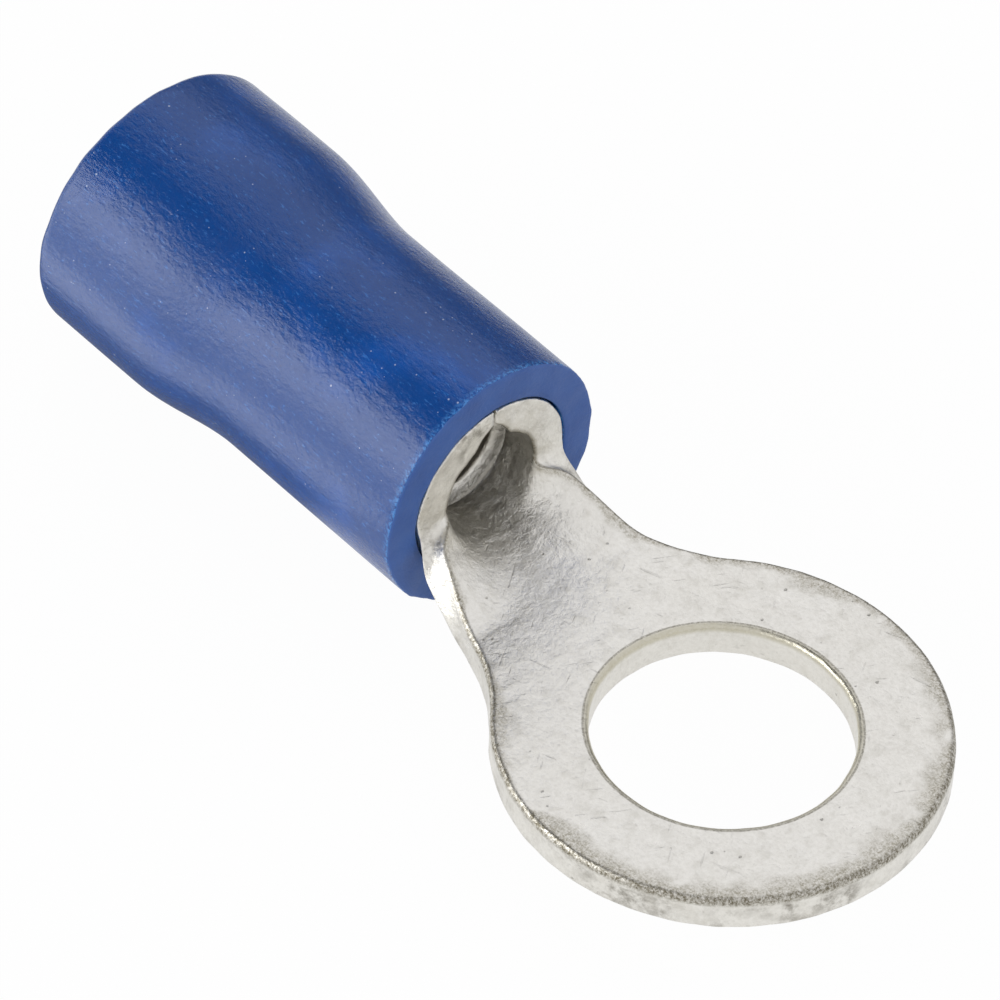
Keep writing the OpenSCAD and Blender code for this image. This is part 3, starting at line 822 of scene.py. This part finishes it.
def white_floor():
    """A matt white table that fades into the white backdrop and keeps a faint shadow."""
    bm = bmesh.new()
    bmesh.ops.create_grid(bm, x_segments=1, y_segments=1, size=TABLE_HALF)
    mesh = bpy.data.meshes.new("white_table")
    bm.to_mesh(mesh)
    bm.free()
    mesh.transform(Matrix.Translation((0, 0, FLOOR_Z)))
    table = bpy.data.objects.new("white_table", mesh)
    bpy.context.scene.collection.objects.link(table)
    material, tree = new_material("matt_white_table")
    path = node(tree, "ShaderNodeLightPath")
    mirrored = node(tree, "ShaderNodeMath",
                    {0: path["Is Glossy Ray"], 1: path["Is Transmission Ray"]},
                    operation="MAXIMUM")["Value"]
    matt = node(tree, "ShaderNodeBsdfDiffuse", {"Color": colour("#f2f2f2")})["BSDF"]
    # painted light: in reflections the table glows brighter beside the sleeve, as a painted pool of
    # the left softbox's light
    spot = node(tree, "ShaderNodeTexCoord")["Object"]
    spot = node(tree, "ShaderNodeSeparateXYZ", {0: spot})
    beyond = node(tree, "ShaderNodeMapRange",
                  {"Value": spot["Y"], "From Min": -0.0042, "From Max": -0.0056},
                  interpolation_type="SMOOTHSTEP")["Result"]
    farther = node(tree, "ShaderNodeMapRange",
                   {"Value": spot["Y"], "From Min": -0.0085, "From Max": -0.0105, "To Min": 1.3,
                    "To Max": 0.7}, interpolation_type="SMOOTHSTEP")["Result"]
    rear = node(tree, "ShaderNodeMapRange",
                {"Value": spot["X"], "From Min": -0.0094, "From Max": -0.0116},
                interpolation_type="SMOOTHSTEP")["Result"]
    painted_pool_of_light = node(tree, "ShaderNodeMath", {0: beyond, 1: farther}, operation="MULTIPLY")["Value"]
    painted_pool_of_light = node(tree, "ShaderNodeMath", {0: painted_pool_of_light, 1: rear}, operation="MULTIPLY")["Value"]
    # painted shadow: in reflections it glows darker close under the sleeve's near side and well
    # behind it
    under = node(tree, "ShaderNodeMapRange",
                 {"Value": spot["Y"], "From Min": 0.0, "From Max": -0.001})["Result"]
    under = node(tree, "ShaderNodeMath", {0: under, 1: beyond}, operation="SUBTRACT")["Value"]
    away = node(tree, "ShaderNodeMapRange",
                {"Value": spot["Y"], "From Min": 0.013, "From Max": 0.022},
                interpolation_type="SMOOTHSTEP")["Result"]
    shade = node(tree, "ShaderNodeMath", {0: under, 1: away}, operation="MAXIMUM")["Value"]
    shade = node(tree, "ShaderNodeMath", {0: shade, 1: rear}, operation="MULTIPLY")["Value"]
    part = node(tree, "ShaderNodeMath", {0: painted_pool_of_light, 1: shade}, operation="MAXIMUM")["Value"]
    part = node(tree, "ShaderNodeMath", {0: part, 1: 0.25, 2: 0.7},
                operation="MULTIPLY_ADD")["Value"]
    mirrored = node(tree, "ShaderNodeMath", {0: mirrored, 1: part}, operation="MULTIPLY")["Value"]
    # the glow's strength in reflections carries the painted light and painted shadow, and the camera
    # sees plain white
    lit = node(tree, "ShaderNodeMath", {0: painted_pool_of_light, 1: 1.0}, operation="ADD")["Value"]
    lit = node(tree, "ShaderNodeMath", {0: shade, 1: -0.75, 2: lit},
               operation="MULTIPLY_ADD")["Value"]
    lit = node(tree, "ShaderNodeMix", {0: path["Is Camera Ray"], 2: lit, 3: 1.0},
               data_type="FLOAT")[0]
    glow = node(tree, "ShaderNodeEmission",
                {"Color": colour("#ffffff"), "Strength": lit})["Emission"]
    looked_at = node(tree, "ShaderNodeMath", {0: path["Is Camera Ray"], 1: 0.97},
                     operation="MULTIPLY")["Value"]
    share = node(tree, "ShaderNodeMath", {0: looked_at, 1: mirrored}, operation="MAXIMUM")["Value"]
    mixed = node(tree, "ShaderNodeMixShader", {0: share, 1: matt, 2: glow})["Shader"]
    node(tree, "ShaderNodeOutputMaterial", {"Surface": mixed})
    mesh.materials.append(material)


def world_light():
    """White backdrop for what looks at it, and for the light a pale room with two dark openings.

    The openings lie lengthwise above the object, where a studio's softboxes leave gaps, and they
    draw the deep blue bands along the sleeve.
    """
    world = bpy.data.worlds.new("pale_room")
    bpy.context.scene.world = world
    world.use_nodes = True
    tree = world.node_tree
    tree.nodes.clear()
    way = node(tree, "ShaderNodeTexCoord")["Generated"]
    across = node(tree, "ShaderNodeVectorMath", {0: way, 1: (0, 1, 1)},
                  operation="MULTIPLY")["Vector"]
    across = node(tree, "ShaderNodeVectorMath", {0: across}, operation="NORMALIZE")["Vector"]
    x = node(tree, "ShaderNodeSeparateXYZ", {0: way})["X"]
    behind = node(tree, "ShaderNodeMapRange", {"Value": x, "From Min": 0.15, "From Max": -0.2},
                  interpolation_type="SMOOTHSTEP")["Result"]
    light = 0.94
    for lean, half_width, depth in ((24, 28, 0.97), (-80, 23, 0.85)):
        a = math.radians(lean)
        middle = node(tree, "ShaderNodeVectorMath", {0: across, 1: (0, -math.sin(a), math.cos(a))},
                      operation="DOT_PRODUCT")["Value"]
        gap = node(tree, "ShaderNodeMapRange",
                   {"Value": middle, "From Min": math.cos(math.radians(half_width)),
                    "From Max": math.cos(math.radians(half_width * 0.7)), "To Max": depth},
                   interpolation_type="SMOOTHSTEP")["Result"]
        gap = node(tree, "ShaderNodeMath", {0: gap, 1: behind}, operation="MULTIPLY")["Value"]
        left = node(tree, "ShaderNodeMath", {0: 1.0, 1: gap}, operation="SUBTRACT")["Value"]
        light = node(tree, "ShaderNodeMath", {0: left, 1: light}, operation="MULTIPLY")["Value"]
    path = node(tree, "ShaderNodeLightPath")
    room = node(tree, "ShaderNodeBackground",
                {"Color": colour("#f8f8fb"), "Strength": light})["Background"]
    white = node(tree, "ShaderNodeBackground",
                 {"Color": colour("#ffffff"), "Strength": 1.0})["Background"]
    mixed = node(tree, "ShaderNodeMixShader",
                 {0: path["Is Camera Ray"], 1: room, 2: white})["Shader"]
    node(tree, "ShaderNodeOutputWorld", {"Surface": mixed})


def lamp(name, azimuth, elevation, distance, width, height, watts):
    """A soft rectangular lamp aimed at the object. Azimuth 0 is on the -Y side, 90 on the +X side."""
    light = bpy.data.lights.new(name, "AREA")
    light.shape = "RECTANGLE"
    light.size = width
    light.size_y = height
    light.energy = watts
    lit = bpy.data.objects.new(name, light)
    bpy.context.scene.collection.objects.link(lit)
    a = math.radians(azimuth)
    e = math.radians(elevation)
    back = Vector((math.sin(a) * math.cos(e), -math.cos(a) * math.cos(e), math.sin(e)))
    lit.location = MIDDLE + back * distance
    lit.rotation_euler = (-back).to_track_quat("-Z", "Y").to_euler()


white_floor()
world_light()
# the softbox behind the object whitens the tongue and the back of the sleeve, and the one on the
# left draws the broad pale band along the sleeve's near side, with the dark room between the two
lamp("rear_softbox", 233, 50, 0.5, 0.4, 0.4, 0.045)
lamp("left_softbox", -31, 16, 0.5, 0.5, 0.3, 1.25)


# ---------------------------------------------------------------- camera

def long_lens_camera():
    """Long lens from the front right, looking down steeply, with a small roll."""
    azimuth = math.radians(45.09)
    elevation = math.radians(46.53)
    roll = math.radians(4.173)
    aim = Vector((-6.614, 0, 1.102)) * MM
    distance = 0.2173
    back = Vector((math.sin(azimuth) * math.cos(elevation),
                   -math.cos(azimuth) * math.cos(elevation), math.sin(elevation)))
    right = Vector((math.cos(azimuth), math.sin(azimuth), 0))
    up = back.cross(right)
    right_turned = math.cos(roll) * right + math.sin(roll) * up
    up_turned = math.cos(roll) * up - math.sin(roll) * right
    data = bpy.data.cameras.new("long_lens")
    data.sensor_width = 36
    data.lens = 379.8
    data.shift_x = -0.0074
    data.shift_y = 0.0318
    data.clip_start = 0.01
    data.clip_end = 10
    camera = bpy.data.objects.new("long_lens", data)
    bpy.context.scene.collection.objects.link(camera)
    turn = Matrix((right_turned, up_turned, back)).transposed().to_4x4()
    camera.matrix_world = Matrix.Translation(aim + back * distance) @ turn
    bpy.context.scene.camera = camera


long_lens_camera()
bpy.context.scene.view_settings.view_transform = "Standard"
